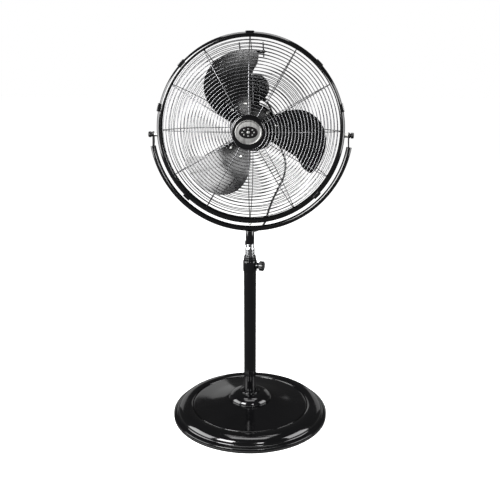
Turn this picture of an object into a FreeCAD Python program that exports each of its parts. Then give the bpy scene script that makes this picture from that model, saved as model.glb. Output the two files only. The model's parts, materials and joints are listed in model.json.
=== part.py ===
import FreeCAD, Part
import math
import os

# Pedestal fan with an 18 inch caged head. Millimetres, +Z up, the fan faces -Y.
# The origin is the centre of the base on the floor.

# Stand
base_radius = 245.0
sheet = 1.4
step_radius = 231.0
bulge_radius = 208.0
bulge_top = 38.0
groove_radius = 184.0
groove_height = 32.0
cone_top_radius = 70.0
cone_top = 52.0
trim_height = 8.0
trim_width = 16.0
step_height = 18.0
flange_height = 15.5
ballast_low = 1.0
ballast_radius = 226.0
ballast_inner = 24.0
plate_thick = 4.0
flange_plate_radius = 52.0
socket_length = 34.0
flange_bolt_circle = 41.0
flange_bolt_radius = 3.0
flange_bolt_count = 4
bell_radius = 66.0
bell_neck_radius = 30.0
bell_height = 26.0
pole_radius = 19.0
pole_wall = 1.5
pole_top = 512.0
collar_top = 528.0
inner_radius = 14.0
inner_bottom = 140.0
inner_top = 563.0
inner_wall = 2.4
neck_radius = 11.5
spigot_length = 34.0
spigot_bore = 6.6
bush_length = 40.0
fit_gap = 0.05
move_gap = 0.3

# Height clamp
knob_turn = -14.0
clamp_height = 496.0
knob_radius = 15.0
knob_lobes = 8
knob_length = 17.0
knob_start = 27.4
knob_socket = 12.0
clamp_screw_radius = 3.0
clamp_hole_radius = 3.4
boss_radius = 9.5
boss_reach = 27.0
band_height = 34.0
band_low = 18.5
band_thick = 2.0

# Yoke
head_height = 900.0
pivot_height = 888.0
yoke_radius = 289.0
yoke_tube_radius = 8.0
yoke_start = 9.0
strap_x = 281.6
strap_thick = 3.0
sleeve_radius = 13.0
spigot_radius = 9.0
pivot_screw_radius = 3.0
tilt_knob_radius = 8.5
tilt_knob_length = 9.5
tilt_knob_flare = 3.4
strap_half = 9.0
strap_drop = 14.0
sleeve_screw_z = 582.0
sleeve_screw_radius = 2.5
pivot_start = 262.0
pivot_tip = 9.0
shoulder_radius = 6.0
nut_radius = 6.5
nut_length = 5.0

# Cage
rim_radius = 272.0
rim_half = 14.0
rim_lip = 259.0
rim_sheet = 1.2
guard_radius = 262.0
guard_edge = 9.0
front_depth = 46.0
rear_depth = 112.0
ring_wire = 1.3
spoke_wire = 1.5
edge_wire = 2.5
ring_pitch = 9.2
front_first_ring = 49.0
rear_first_ring = 77.0
spoke_count = 12
plate_radius = 48.0
badge_half_width = 38.5
badge_half_height = 34.5
badge_thick = 4.0
emblem_half_width = 27.0
emblem_half_height = 17.0
emblem_thick = 1.0
clip_angles = (90, 44, 14, -43, -134, 166, 136)
clip_span = 4.8
clip_thick = 2.2
clip_inner = 264.0
handle_radius = 5.0
handle_half = 34.0
handle_reach = 36.0
handle_height = 222.0
handle_bend = 12.0

# Motor and fan wheel
motor_radius = 64.0
motor_front = 42.0
motor_rear = 118.0
bell_wall = 2.5
plate_edge = 72.0
shaft_radius = 5.0
shaft_front = -36.0
shaft_length = 151.0
bush_radius = 10.0
bush_width = 12.0
bush_boss_radius = 15.0
lug_radius = 5.0
lug_circle = 67.5
motor_bolt_circle = 68.5
motor_bolt_radius = 2.0
core_front = 62.0
core_length = 36.0
stator_bore = 40.0
rotor_radius = 39.5
winding_outer = 56.0
winding_inner = 42.0
winding_length = 9.0
mount_sheet = 2.5
mount_screw_circle = 30.0
mount_screw_radius = 2.5
blade_count = 3
blade_radius = 225.0
blade_root = 50.0
blade_sheet = 1.4
blade_lead_y = 30.0
blade_pitch = 55.0
spider_sheet = 2.5
spider_gap = 0.4
rivet_radius = 77.0
rivet_angles = (11.0, 40.0)
rivet_shank = 2.4
rivet_head = 4.6
spider_hub_radius = 23.0
spider_hub_length = 52.0
spider_hub_front = -22.0
nut_outer = 11.0
nut_width = 9.0
nut_front = -31.1

# Control box
box_x = 6.0
box_z = head_height + 117.0
box_radius = 41.0
box_front = 124.0
box_rear = 158.0
box_wall = 2.5
lid_thick = 3.0
lid_screw_radius = 1.6
switch_radius = 14.0
switch_length = 20.0
dial_radius = 15.0
dial_skirt = 3.0
dial_grip_radius = 11.5
dial_grip_length = 14.0
relief_radius = 5.0
relief_length = 15.0

# Mains lead
cord_radius = 3.2
lead_break = 0.05
coil_x = -5.0
coil_y = 64.0
coil_z = 558.5
coil_inner = 28.6
coil_outer = 41.4
coil_half = 9.6
tie_half_x = 12.0
tie_half_y = 8.4
tie_half_z = 5.0
tie_wall = 1.5
tab_thick = 2.4
tab_foot = 566.0
tab_top = 575.0

X = FreeCAD.Vector(1, 0, 0)
Y = FreeCAD.Vector(0, 1, 0)
Z = FreeCAD.Vector(0, 0, 1)
hub = FreeCAD.Vector(0, 0, head_height)


def vec(x, y, z):
    return FreeCAD.Vector(x, y, z)


def rod(radius, length, start, axis):
    return Part.makeCylinder(radius, length, start, axis)


def pipe(outer, inner, length, start, axis):
    return rod(outer, length, start, axis).cut(rod(inner, length, start, axis))


def box(low, high):
    size = high - low
    return Part.makeBox(size.x, size.y, size.z, low)


def lathe(points, axis=Z, centre=None, turn=360.0):
    """A closed outline of (radius, distance along the axis) pairs, revolved."""
    centre = centre or vec(0, 0, 0)
    side = X if axis is not X else Y
    corners = [centre + side * radius + axis * along for radius, along in points]
    wire = Part.makePolygon(corners + corners[:1])
    return Part.Face(wire).revolve(centre, axis, turn)


def polar(radius, degrees, y=0.0):
    """A point of the head, by radius and angle as seen from the front."""
    angle = math.radians(degrees)
    return hub + vec(radius * math.cos(angle), y, radius * math.sin(angle))


def rounded(shape, radius):
    return shape.makeFillet(radius, shape.Edges)


def swept(wire, radius):
    start = wire.Edges[0]
    place = start.valueAt(start.FirstParameter)
    heading = start.tangentAt(start.FirstParameter)
    ring = Part.Wire(Part.makeCircle(radius, place, heading))
    return wire.makePipeShell([ring], True, False)


def group(solids):
    return Part.makeCompound(solids)


def lobed_knob(radius, length, start, axis, lobes):
    """A knob with scallops cut round its edge."""
    knob = rod(radius, length, start, axis)
    side = axis.cross(Z) if abs(axis.z) < 0.5 else axis.cross(X)
    side.normalize()
    across = axis.cross(side)
    for number in range(lobes):
        angle = 2 * math.pi * number / lobes
        reach = side * math.cos(angle) + across * math.sin(angle)
        knob = knob.cut(rod(radius * 0.3, length, start + reach * radius * 1.15, axis))
    return knob


# Stand

def base_profile():
    """Top of the dish from the rim to the centre, as (radius, height)."""
    points = [(base_radius, trim_height), (base_radius, 12.0), (base_radius - 5, 15.0)]
    points += [(step_radius + 2, flange_height), (step_radius, step_height)]
    half = (step_radius - groove_radius) / 2.0
    middle = (step_radius + groove_radius) / 2.0
    for number in range(1, 8):
        angle = math.pi * number / 8
        base = step_height + (groove_height - step_height) * number / 8
        rise = (bulge_top - groove_height + 7.0) * math.sin(angle)
        points.append((middle + half * math.cos(angle), base + rise))
    points += [(groove_radius, groove_height), (groove_radius - 4, groove_height + 1)]
    points += [(cone_top_radius, cone_top), (pole_radius + 5, cone_top)]
    return points


def base_dish():
    top = base_profile()
    under = [(radius - 0.6 * sheet if radius > groove_radius else radius, height - sheet)
             for radius, height in top[1:]]
    under.insert(0, (base_radius - sheet, trim_height))
    return lathe(top + under[::-1])


def base_ballast():
    outline = [(ballast_inner, ballast_low), (ballast_radius, ballast_low), (ballast_radius, 13.0)]
    return lathe(outline + [(186, 27.0), (70, 45.0), (ballast_inner, 45.0)])


def base_edge_trim():
    inner = base_radius - trim_width
    outline = [(inner, 0), (base_radius - 1, 0), (base_radius, 2), (base_radius, trim_height)]
    return lathe(outline + [(inner, trim_height)])


def pole_flange():
    plate = rod(flange_plate_radius, plate_thick, vec(0, 0, cone_top), Z)
    socket = rod(pole_radius - pole_wall - fit_gap, socket_length, vec(0, 0, cone_top), Z)
    flange = plate.fuse(socket)
    for start in bolt_places():
        flange = flange.cut(rod(flange_bolt_radius, plate_thick, start, Z))
    return flange.removeSplitter()


def bolt_places():
    places = []
    for number in range(flange_bolt_count):
        angle = math.radians(45 + 360 * number / flange_bolt_count)
        across = flange_bolt_circle * math.cos(angle)
        places.append(vec(across, flange_bolt_circle * math.sin(angle), cone_top))
    return places


def flange_bolts():
    bolts = []
    for start in bolt_places():
        shank = rod(flange_bolt_radius - fit_gap, plate_thick, start, Z)
        bolts.append(shank.fuse(rod(5.5, 3.5, start + Z * plate_thick, Z)))
    return group(bolts)


def bell_curve(inset):
    """Cover outline: a quarter sweep from the foot ring to the neck lip."""
    points = []
    foot = bell_radius - inset
    neck = bell_neck_radius - inset
    for number in range(9):
        angle = math.radians(90 * number / 8)
        radius = neck + (foot - neck) * math.cos(angle)
        height = cone_top + 2 + (bell_height - 4 - inset) * math.sin(angle)
        points.append((radius, height))
    return points


def bell_cover():
    outer = [(bell_radius, cone_top)] + bell_curve(0.0)
    lip_top = cone_top + bell_height
    bore = pole_radius + move_gap
    outer += [(bell_neck_radius, lip_top), (bell_neck_radius - 5, lip_top + 3)]
    outer += [(bore, lip_top + 3), (bore, lip_top - 4)]
    inner = bell_curve(sheet)[::-1] + [(bell_radius - sheet, cone_top)]
    return lathe(outer + inner)


def outer_pole():
    """Pole tube with the clamp band and threaded boss welded on."""
    bottom = cone_top + plate_thick
    tube = pipe(pole_radius, pole_radius - pole_wall, pole_top - bottom, vec(0, 0, bottom), Z)
    band_start = vec(0, 0, clamp_height - band_low)
    band = pipe(pole_radius + band_thick, pole_radius, band_height, band_start, Z)
    boss = rod(boss_radius, boss_reach, vec(0, 0, clamp_height), clamp_axis())
    boss = boss.cut(rod(pole_radius, 40, vec(0, 0, clamp_height - 20), Z))
    return tube.fuse(band).fuse(boss).cut(clamp_bore(clamp_hole_radius)).removeSplitter()


def clamp_axis():
    angle = math.radians(knob_turn)
    return vec(math.cos(angle), math.sin(angle), 0)


def clamp_bore(radius):
    return rod(radius, 40, vec(0, 0, clamp_height), clamp_axis())


def collar_bush():
    outer = pole_radius - pole_wall - fit_gap
    start = vec(0, 0, pole_top - bush_length)
    bush = pipe(outer, inner_radius + fit_gap, bush_length, start, Z)
    return bush.cut(clamp_bore(clamp_hole_radius))


def pole_collar():
    low = pole_top
    bore = inner_radius + move_gap
    outline = [(bore, low), (18.4, low), (18.4, low + 2.5), (19.4, low + 3), (19.4, low + 5.5)]
    outline += [(17.8, low + 6), (17.8, low + 9), (18.6, low + 9.5), (18.6, low + 11)]
    outline += [(17.4, low + 12), (17.0, collar_top - 1), (16.0, collar_top), (bore, collar_top)]
    return lathe(outline)


def height_knob_grip():
    start = vec(0, 0, clamp_height) + clamp_axis() * knob_start
    knob = lobed_knob(knob_radius, knob_length, start, clamp_axis(), knob_lobes)
    return knob.cut(rod(clamp_screw_radius, knob_socket, start, clamp_axis()))


def height_knob_screw():
    tip = inner_radius + 0.4
    start = vec(0, 0, clamp_height) + clamp_axis() * tip
    return rod(clamp_screw_radius, knob_start + knob_socket - tip, start, clamp_axis())


def inner_pole():
    neck = inner_top - 9
    bore = inner_radius - inner_wall
    spigot_top = inner_top + spigot_length
    outline = [(bore, inner_bottom), (inner_radius, inner_bottom), (inner_radius, neck - 8)]
    outline += [(neck_radius, neck), (neck_radius, inner_top), (spigot_radius, inner_top)]
    outline += [(spigot_radius, spigot_top), (spigot_bore, spigot_top), (spigot_bore, neck - 8)]
    outline += [(bore, neck - 14)]
    return lathe(outline)


# Yoke

def yoke_path():
    points = [polar(yoke_radius, degrees) for degrees in (180 + yoke_start, 270, 360 - yoke_start)]
    return Part.Wire([Part.Arc(*points).toShape()])


def yoke_tube():
    tube = swept(yoke_path(), yoke_tube_radius)
    return tube.cut(swept(yoke_path(), yoke_tube_radius - pole_wall))


def strap_solid(side):
    """A flattened end plate with a round top and the pivot hole."""
    low = head_height - yoke_radius * math.sin(math.radians(yoke_start)) - strap_drop
    inner_face = strap_x if side > 0 else -strap_x - strap_thick
    plate = box(vec(inner_face, -strap_half, low), vec(inner_face + strap_thick, strap_half, pivot_height))
    plate = plate.fuse(rod(strap_half, strap_thick, vec(inner_face, 0, pivot_height), X))
    hole = rod(pivot_screw_radius + fit_gap, strap_thick, vec(inner_face, 0, pivot_height), X)
    return plate.cut(hole).cut(swept(yoke_path(), yoke_tube_radius)).removeSplitter()


def yoke_straps():
    return group([max(strap_solid(side).Solids, key=lambda s: s.Volume) for side in (1, -1)])


def yoke_sleeve():
    start = vec(0, 0, inner_top + move_gap)
    length = head_height - yoke_radius - start.z
    sleeve = pipe(sleeve_radius, spigot_radius + fit_gap, length, start, Z)
    sleeve = sleeve.cut(swept(yoke_path(), yoke_tube_radius))
    sleeve = sleeve.cut(rod(sleeve_screw_radius, 20, vec(0, 0, sleeve_screw_z), Y))
    return max(sleeve.Solids, key=lambda solid: solid.Volume)


def sleeve_screw():
    start = vec(0, spigot_radius + move_gap, sleeve_screw_z)
    shank = rod(sleeve_screw_radius - fit_gap, sleeve_radius - start.y, start, Y)
    return shank.fuse(rod(4.2, 3, vec(0, sleeve_radius, sleeve_screw_z), Y))


def tilt_knob(side):
    inner_face = side * (strap_x + strap_thick + move_gap)
    axis = X * side
    start = vec(inner_face, 0, pivot_height)
    flare = lathe([(0, 0), (7.5, 0), (7.5, 1.2), (4.6, tilt_knob_flare), (0, tilt_knob_flare)], axis, start)
    grip_start = start + axis * tilt_knob_flare
    grip = lobed_knob(tilt_knob_radius, tilt_knob_length, grip_start, axis, 6)
    knob = flare.fuse(grip)
    return knob.cut(rod(pivot_screw_radius + fit_gap, tilt_knob_length, start, axis)).removeSplitter()


def pivot_fasteners():
    """Shoulder bolts through rim and yoke, with their nuts inside the rim."""
    rim = rod(rim_radius, 60, hub - Y * 30, Y)
    fasteners = []
    for side in (1, -1):
        start = vec(side * pivot_start, 0, pivot_height)
        length = strap_x + strap_thick + pivot_tip - pivot_start
        shank = rod(pivot_screw_radius, length, start, X * side)
        length = strap_x - move_gap - pivot_start - 2
        shoulder = rod(shoulder_radius, length, start + X * side * 2, X * side).cut(rim)
        fasteners.append(shank.fuse(shoulder))
        place = start + X * side * 1.5
        fasteners.append(pipe(nut_radius, pivot_screw_radius, nut_length, place, X * side))
    return group(fasteners)


# Cage

def rim_band():
    inner = rim_radius - rim_sheet
    outline = [(rim_lip, -rim_half), (rim_radius, -rim_half), (rim_radius, rim_half)]
    outline += [(rim_lip, rim_half), (rim_lip, rim_half - rim_sheet), (inner, rim_half - rim_sheet)]
    outline += [(inner, -rim_half + rim_sheet), (rim_lip, -rim_half + rim_sheet)]
    band = lathe(outline, Y, hub)
    for side in (1, -1):
        start = vec(side * 264, 0, pivot_height)
        band = band.cut(rod(pivot_screw_radius, 12, start, X * side))
    bolt = rod(2.5, 6, hub - Z * (rim_radius + 2), Z)
    return band.cut(bolt)


def guard_point(radius, depth, offset):
    """Point of the guard's section, moved inwards along the section's normal."""
    height = guard_edge + depth * (1 - (radius / guard_radius) ** 4)
    slope = -4 * depth * radius ** 3 / guard_radius ** 4
    size = math.hypot(1, slope)
    return radius + offset * slope / size, height - offset / size


def wire_ring(radius, height, wire):
    """A hoop of wire with an eight-sided section, round the fan's axis."""
    corners = []
    for number in range(8):
        angle = math.radians(22.5 + 45 * number)
        corners.append((radius + wire * math.cos(angle), height + wire * math.sin(angle)))
    return lathe(corners, Y, hub)


def guard_rings(side, depth, first):
    rings = [wire_ring(guard_radius + 4.5, side * guard_edge, edge_wire)]
    radius = first
    while radius < guard_radius - ring_wire:
        across, height = guard_point(radius, depth, 0)
        rings.append(wire_ring(across, side * height, ring_wire))
        radius += ring_pitch
    return group(rings)


def guard_spokes(side, depth, first):
    offset = ring_wire + spoke_wire + fit_gap
    steps = 8
    spokes = []
    for number in range(spoke_count):
        angle = 360.0 * number / spoke_count
        points = []
        for step in range(steps + 1):
            radius = first + (guard_radius - 2 - first) * step / steps
            across, height = guard_point(radius, depth, offset)
            points.append(polar(across, angle, side * height))
        ring = Part.Wire(Part.makeCircle(spoke_wire, points[0], points[1] - points[0]))
        path = Part.makePolygon(points)
        spokes.append(path.makePipeShell([ring], True, False, 1))
    return group(spokes)


def front_centre_plate():
    """A shallow black cap that the spokes and the badge are fixed to."""
    face = -guard_edge - front_depth
    outline = [(0, face - 1.2), (plate_radius - 6, face - 1.2), (plate_radius, face + 1.0)]
    outline += [(plate_radius - 1.4, face + 1.2), (plate_radius - 6.5, face + 0.6), (0, face + 0.6)]
    return lathe(outline, Y, hub)


def oval(half_width, half_height, low, high):
    ellipse = Part.Ellipse(hub + Y * low, half_width, half_height).toShape()
    ellipse.rotate(hub + Y * low, X, 90)
    return Part.Face(Part.Wire([ellipse])).extrude(Y * (high - low))


def badge_plate():
    face = -guard_edge - front_depth - 1.2
    plate = oval(badge_half_width, badge_half_height, face - badge_thick, face)
    return plate.makeFillet(1.8, [edge for edge in plate.Edges if edge.BoundBox.YMax < face - 1])


def badge_emblem():
    face = -guard_edge - front_depth - 1.2 - badge_thick
    return oval(emblem_half_width, emblem_half_height, face - emblem_thick, face)


def guard_clips():
    """Sheet clips that grip both lips of the rim."""
    clips = []
    inner = rim_radius + fit_gap
    lip = rim_half + fit_gap
    thick = clip_thick
    outline = [(inner, -lip), (clip_inner, -lip), (clip_inner, -lip - thick), (inner + thick, -lip - thick)]
    outline += [(inner + thick, lip + thick), (clip_inner, lip + thick), (clip_inner, lip), (inner, lip)]
    for angle in clip_angles:
        clip = lathe(outline, Y, hub, clip_span)
        clip.rotate(hub, Y, -angle - clip_span / 2)
        clips.append(clip)
    return group(clips)


def rim_clamp_bolt():
    start = hub - Z * (rim_radius + 6)
    return rod(2.5, 14, start, Z).fuse(rod(5.0, 4, start - Z * 0.2, Z))


# Motor

def lug_angles():
    return [45 + 90 * number for number in range(4)]


def motor_shell(front, rear, closed_at):
    """One half of the motor case, with a bush boss and bolt lugs."""
    length = rear - front
    shell = rod(motor_radius, length, hub + Y * front, Y)
    hollow_start = front + bell_wall if closed_at == front else front
    shell = shell.cut(rod(motor_radius - bell_wall, length - bell_wall, hub + Y * hollow_start, Y))
    boss_start = front if closed_at == front else rear - bush_width
    shell = shell.fuse(rod(bush_boss_radius, bush_width, hub + Y * boss_start, Y))
    for angle in lug_angles():
        lug = rod(lug_radius, length, polar(lug_circle, angle, front), Y)
        shell = shell.fuse(lug.cut(rod(motor_radius - 1, length, hub + Y * front, Y)))
        shell = shell.cut(rod(motor_bolt_radius, length, polar(motor_bolt_circle, angle, front), Y))
    shell = shell.cut(rod(bush_radius, bush_width, hub + Y * boss_start, Y))
    return shell.removeSplitter()


def motor_bolts():
    bolts = []
    for angle in lug_angles():
        start = polar(motor_bolt_circle, angle, motor_front)
        shank = rod(motor_bolt_radius - fit_gap, motor_rear - motor_front, start, Y)
        bolts.append(shank.fuse(rod(3.8, 3, start - Y * 3, Y)))
    return group(bolts)


def motor_bushes():
    bore = shaft_radius + fit_gap
    starts = (motor_front, motor_rear - bush_width)
    return group([pipe(bush_radius, bore, bush_width, hub + Y * start, Y) for start in starts])


def stator_core():
    return pipe(motor_radius - bell_wall - fit_gap, stator_bore, core_length, hub + Y * core_front, Y)


def stator_windings():
    starts = (core_front - winding_length - 0.2, core_front + core_length + 0.2)
    return group([pipe(winding_outer, winding_inner, winding_length, hub + Y * start, Y) for start in starts])


def rotor_core():
    return pipe(rotor_radius, shaft_radius, core_length, hub + Y * core_front, Y)


def motor_shaft():
    return rod(shaft_radius, shaft_length, hub + Y * shaft_front, Y)


def guard_mount_plate():
    """Disc that carries the motor, with a tongue for the control box."""
    start = hub + Y * motor_rear
    plate = rod(plate_edge, mount_sheet, start, Y).cut(rod(12, mount_sheet, start, Y))
    for angle in (0, 90, 180, 270):
        place = polar(mount_screw_circle, angle, motor_rear)
        plate = plate.cut(rod(mount_screw_radius, mount_sheet, place, Y))
    low = vec(box_x - 14, motor_rear, head_height + 40)
    block = box(low, vec(box_x + 14, box_front, head_height + 66))
    strap = box(vec(low.x, box_front - 2, low.z), vec(box_x + 14, box_front, box_z + 26))
    return plate.fuse(block).fuse(strap).removeSplitter()


# Fan wheel

def lead_angle(radius):
    """Degrees that the leading edge is swept forward near the tip."""
    t = min(max((radius - 147) / 50.0, 0.0), 1.0)
    return -6.0 * t * t * (3 - 2 * t)


def trail_angle(radius):
    """Degrees from the leading line to the trailing edge."""
    return 14.0 + 51.0 * math.sqrt(max(1 - (radius / blade_radius) ** 2.44, 0.0))


def helicoid(radius, degrees, base):
    """Point of a blade's sheet: it moves forward as the angle grows."""
    y = blade_lead_y - blade_pitch * math.radians(degrees)
    return polar(radius, base + degrees, y)


def twisted_sheet(base, radii, first, last, thickness):
    grid = []
    columns = 9
    for radius in radii:
        row = []
        for column in range(columns):
            share = column / (columns - 1.0)
            degrees = first(radius) + (last(radius) - first(radius)) * share
            row.append(helicoid(radius, degrees, base))
        grid.append(row)
    surface = Part.BSplineSurface()
    surface.interpolate(grid)
    return Part.Face(surface.toShape()).extrude(Y * thickness)


def blade_base(number):
    return 90.0 - 120.0 * number


def blade_radii():
    """Sections that crowd towards the rounded tip."""
    sections = 12
    reach = blade_radius - blade_root
    return [blade_root + reach * math.sin(math.pi / 2 * k / sections) for k in range(sections + 1)]


def rivet_places(base):
    """Start and direction of each rivet, square to the sheet."""
    places = []
    for degrees in rivet_angles:
        point = helicoid(rivet_radius, degrees, base)
        along = helicoid(rivet_radius + 1, degrees, base) - point
        around = helicoid(rivet_radius, degrees + 1, base) - point
        normal = along.cross(around)
        normal.normalize()
        places.append((point, normal if normal.y < 0 else normal * -1))
    return places


def rivet_holes(base):
    return [rod(rivet_shank, 16, point - normal * 8, normal) for point, normal in rivet_places(base)]


def fan_blade(number):
    base = blade_base(number)
    blade = twisted_sheet(base, blade_radii(), lead_angle, trail_angle, blade_sheet)
    for hole in rivet_holes(base):
        blade = blade.cut(hole)
    return blade


def blade_spider():
    """Hub with three twisted arms behind the blades."""
    bore = rod(shaft_radius, 80, hub - Y * 40, Y)
    spider = rod(spider_hub_radius, spider_hub_length, hub + Y * spider_hub_front, Y)
    for number in range(blade_count):
        base = blade_base(number)
        arm = twisted_sheet(base, (14.0, 40.0, 66.0, 92.0), lambda r: 3.0, lambda r: 48.0, spider_sheet)
        arm.translate(Y * (blade_sheet + spider_gap))
        arm = arm.cut(fan_blade(number))
        for hole in rivet_holes(base):
            arm = arm.cut(hole)
        spider = spider.fuse(max(arm.Solids, key=lambda solid: solid.Volume))
    return spider.cut(bore).removeSplitter()


def blade_rivets():
    rivets = []
    for number in range(blade_count):
        base = blade_base(number)
        for point, normal in rivet_places(base):
            shank = rod(rivet_shank, 7.4, point - normal * 6.0, normal)
            front = rod(rivet_head, 1.8, point + normal * 0.35, normal)
            rivets.append(shank.fuse(front))
    return group(rivets)


def hub_nut():
    return pipe(nut_outer, shaft_radius, nut_width, hub + Y * nut_front, Y)


# Control box

def control_centre(y):
    return vec(box_x, y, box_z)


def control_box():
    body = rod(box_radius, box_rear - box_front - lid_thick, control_centre(box_front), Y)
    depth = box_rear - box_front - lid_thick - box_wall
    hollow = rod(box_radius - box_wall, depth, control_centre(box_front + box_wall), Y)
    return body.cut(hollow).cut(relief_bore())


def control_box_lid():
    lid = rod(box_radius, lid_thick, control_centre(box_rear - lid_thick), Y)
    lid = lid.cut(rod(4.0, lid_thick, control_centre(box_rear - lid_thick), Y))
    for point in lid_points(box_rear - lid_thick):
        lid = lid.cut(rod(lid_screw_radius, lid_thick, point, Y))
    return lid


def lid_points(y):
    points = []
    for number in range(3):
        angle = math.radians(30 + 120 * number)
        reach = box_radius - 8
        points.append(control_centre(y) + vec(reach * math.cos(angle), 0, reach * math.sin(angle)))
    return points


def case_screws():
    """Screws of the control box lid and of the motor's mounting plate."""
    screws = []
    for point in lid_points(box_rear - lid_thick):
        shank = rod(lid_screw_radius - fit_gap, lid_thick, point, Y)
        screws.append(shank.fuse(rod(3.2, 2, point + Y * lid_thick, Y)))
    for angle in (0, 90, 180, 270):
        head = rod(4.5, 3, polar(mount_screw_circle, angle, motor_rear + mount_sheet), Y)
        start = polar(mount_screw_circle, angle, motor_rear)
        screws.append(head.fuse(rod(mount_screw_radius - fit_gap, mount_sheet, start, Y)))
    return group(screws)


def rotary_switch():
    body = rod(switch_radius, switch_length, control_centre(box_rear - 3.2 - switch_length), Y)
    return body.fuse(rod(3.0, 12, control_centre(box_rear - 4), Y)).removeSplitter()


def speed_knob():
    start = control_centre(box_rear + move_gap)
    skirt = rod(dial_radius, dial_skirt, start, Y)
    grip = rod(dial_grip_radius, dial_grip_length, start + Y * dial_skirt, Y)
    bar = box(start + vec(-3, dial_skirt, -14), start + vec(3, 15.5, 14))
    knob = skirt.fuse(grip).fuse(bar)
    return knob.cut(rod(3.0 + fit_gap, 8.5, start, Y)).removeSplitter()


def run_capacitor():
    low = control_centre(box_front + 4) + vec(-18, 0, -32)
    return box(low, low + vec(36, 20, 14))


relief_angle = math.radians(-50)
relief_direction = vec(math.cos(relief_angle), 0, math.sin(relief_angle))
relief_y = 139.0


def relief_bore():
    start = control_centre(relief_y) + relief_direction * (box_radius - 6)
    return rod(relief_radius, 10, start, relief_direction)


def strain_relief():
    start = control_centre(relief_y) + relief_direction * (box_radius - 5)
    return rod(relief_radius, relief_length, start, relief_direction)


# Mains lead

def cage_route():
    """Lead down the back of the cage, from the control box to the rim."""
    start = control_centre(relief_y) + relief_direction * (box_radius + 10)
    points = [start, start + relief_direction * 22]
    for x, y, z in ((60, 141, 26), (70, 138, -20), (84, 133, -62), (102, 126, -100)):
        points.append(hub + vec(x, y, z))
    for x, y, z in ((100, 110, -142), (82, 92, -180), (64, 72, -214), (50, 44, -252)):
        points.append(hub + vec(x, y, z))
    points.append(hub + vec(46, 35, -272))
    return points


def neck_route():
    """Slack of the lead from the rim to the coil behind the sleeve."""
    end = cage_route()[-1]
    points = [end + (end - cage_route()[-2]) * lead_break]
    for x, y, z in ((36, 30, 609), (19, 33, 596), (2, 44, 592), (-8, 61, 595)):
        points.append(vec(x, y, z))
    return points


def tail_route():
    start = vec(coil_x, coil_y + 36.5, coil_z - 16)
    return [start, start + vec(0, -1, -20), start + vec(0, -6, -40)]


def cord_tube(name, route):
    """Straight runs joined by tangent arcs, swept with the lead's section."""
    edges = []
    radii = []
    here = route[0]
    for before, corner, after in zip(route, route[1:], route[2:]):
        into = corner - before
        out = after - corner
        turn = into.getAngle(out)
        shorter = min(into.Length, out.Length)
        radii.append(0.45 * shorter / math.tan(turn / 2))
        into.normalize()
        out.normalize()
        first = corner - into * 0.45 * shorter
        last = corner + out * 0.45 * shorter
        bow = radii[-1] * (1 / math.cos(turn / 2) - 1)
        inward = out - into
        inward.normalize()
        edges.append(Part.LineSegment(here, first).toShape())
        edges.append(Part.Arc(first, corner + inward * bow, last).toShape())
        here = last
    edges.append(Part.LineSegment(here, route[-1]).toShape())
    wire = Part.Wire(edges)
    tube = swept(wire, cord_radius)
    ratio = tube.Volume / (math.pi * cord_radius ** 2 * wire.Length)
    print(name, "length", round(wire.Length, 1), "volume ratio", round(ratio, 4))
    print(name, "arc radii", [round(radius, 1) for radius in radii])
    return tube


def cord_coil():
    outline = [(coil_inner, -coil_half), (coil_outer, -coil_half)]
    outline += [(coil_outer, coil_half), (coil_inner, coil_half)]
    return lathe(outline, X, vec(coil_x, coil_y, coil_z))


def coil_tie():
    """Band round the coil, with a tab up to the back of the sleeve."""
    middle = vec(coil_x, coil_y - (coil_inner + coil_outer) / 2, coil_z)
    corner = vec(tie_half_x, tie_half_y, tie_half_z)
    opening = vec(tie_half_x - tie_wall, tie_half_y - tie_wall, tie_half_z)
    band = box(middle - corner, middle + corner).cut(box(middle - opening, middle + opening))
    band = band.cut(cord_coil())
    near = middle.y - tie_half_y
    tab = box(vec(-tie_half_z, near - tab_thick, middle.z - tie_half_z), vec(tie_half_z, near, tab_top))
    foot = box(vec(-tie_half_z, 0, tab_foot), vec(tie_half_z, near, tab_top))
    foot = foot.cut(rod(sleeve_radius, inner_top, vec(0, 0, inner_top), Z))
    return band.fuse(tab).fuse(foot).removeSplitter()


def cord_clip():
    """Clip at the foot of the cage that the lead passes through."""
    end = cage_route()[-1]
    low = vec(end.x - 7, rim_half + fit_gap, end.z + 4)
    return box(low, low + vec(15, 30, 8)).cut(cage_cord())


def plug_body():
    top = tail_route()[-1]
    body = box(top + vec(-12, -24, -44), top + vec(12, 24, -6))
    body = rounded(body, 5)
    neck = Part.makeCone(7, 4.4, 8, top - Z * 8, Z)
    return body.fuse(neck).removeSplitter()


def plug_pins():
    """Three flat pins that stand out of the plug's rear side."""
    top = tail_route()[-1]
    pins = []
    for x, z in ((0, -14), (-6, -34), (6, -34)):
        start = top + vec(x - 1.6, 24, z - 3)
        pins.append(box(start, start + vec(3.2, 17, 6)))
    return group(pins)


def cage_cord():
    return cord_tube("cage_cord", cage_route())


def carry_handle():
    """Bent bar at the top of the rear guard, with two legs."""
    z = head_height + handle_height
    y = guard_point(handle_height, rear_depth, 0)[1] + ring_wire
    half = handle_half
    far = y + handle_reach
    bend = handle_bend
    corners = [vec(-half, y, z), vec(-half, far, z), vec(half, far, z), vec(half, y, z)]
    edges = [Part.LineSegment(corners[0], corners[1] - Y * bend).toShape()]
    for corner, into, out in ((corners[1], Y, X), (corners[2], X, Y * -1)):
        first = corner - into * bend
        last = corner + out * bend
        middle = corner + (out - into) * bend * (1 - math.sqrt(0.5))
        edges.append(Part.Arc(first, middle, last).toShape())
    edges.insert(2, Part.LineSegment(corners[1] + X * bend, corners[2] - X * bend).toShape())
    edges.append(Part.LineSegment(corners[2] - Y * bend, corners[3]).toShape())
    return swept(Part.Wire(edges), handle_radius)


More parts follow.
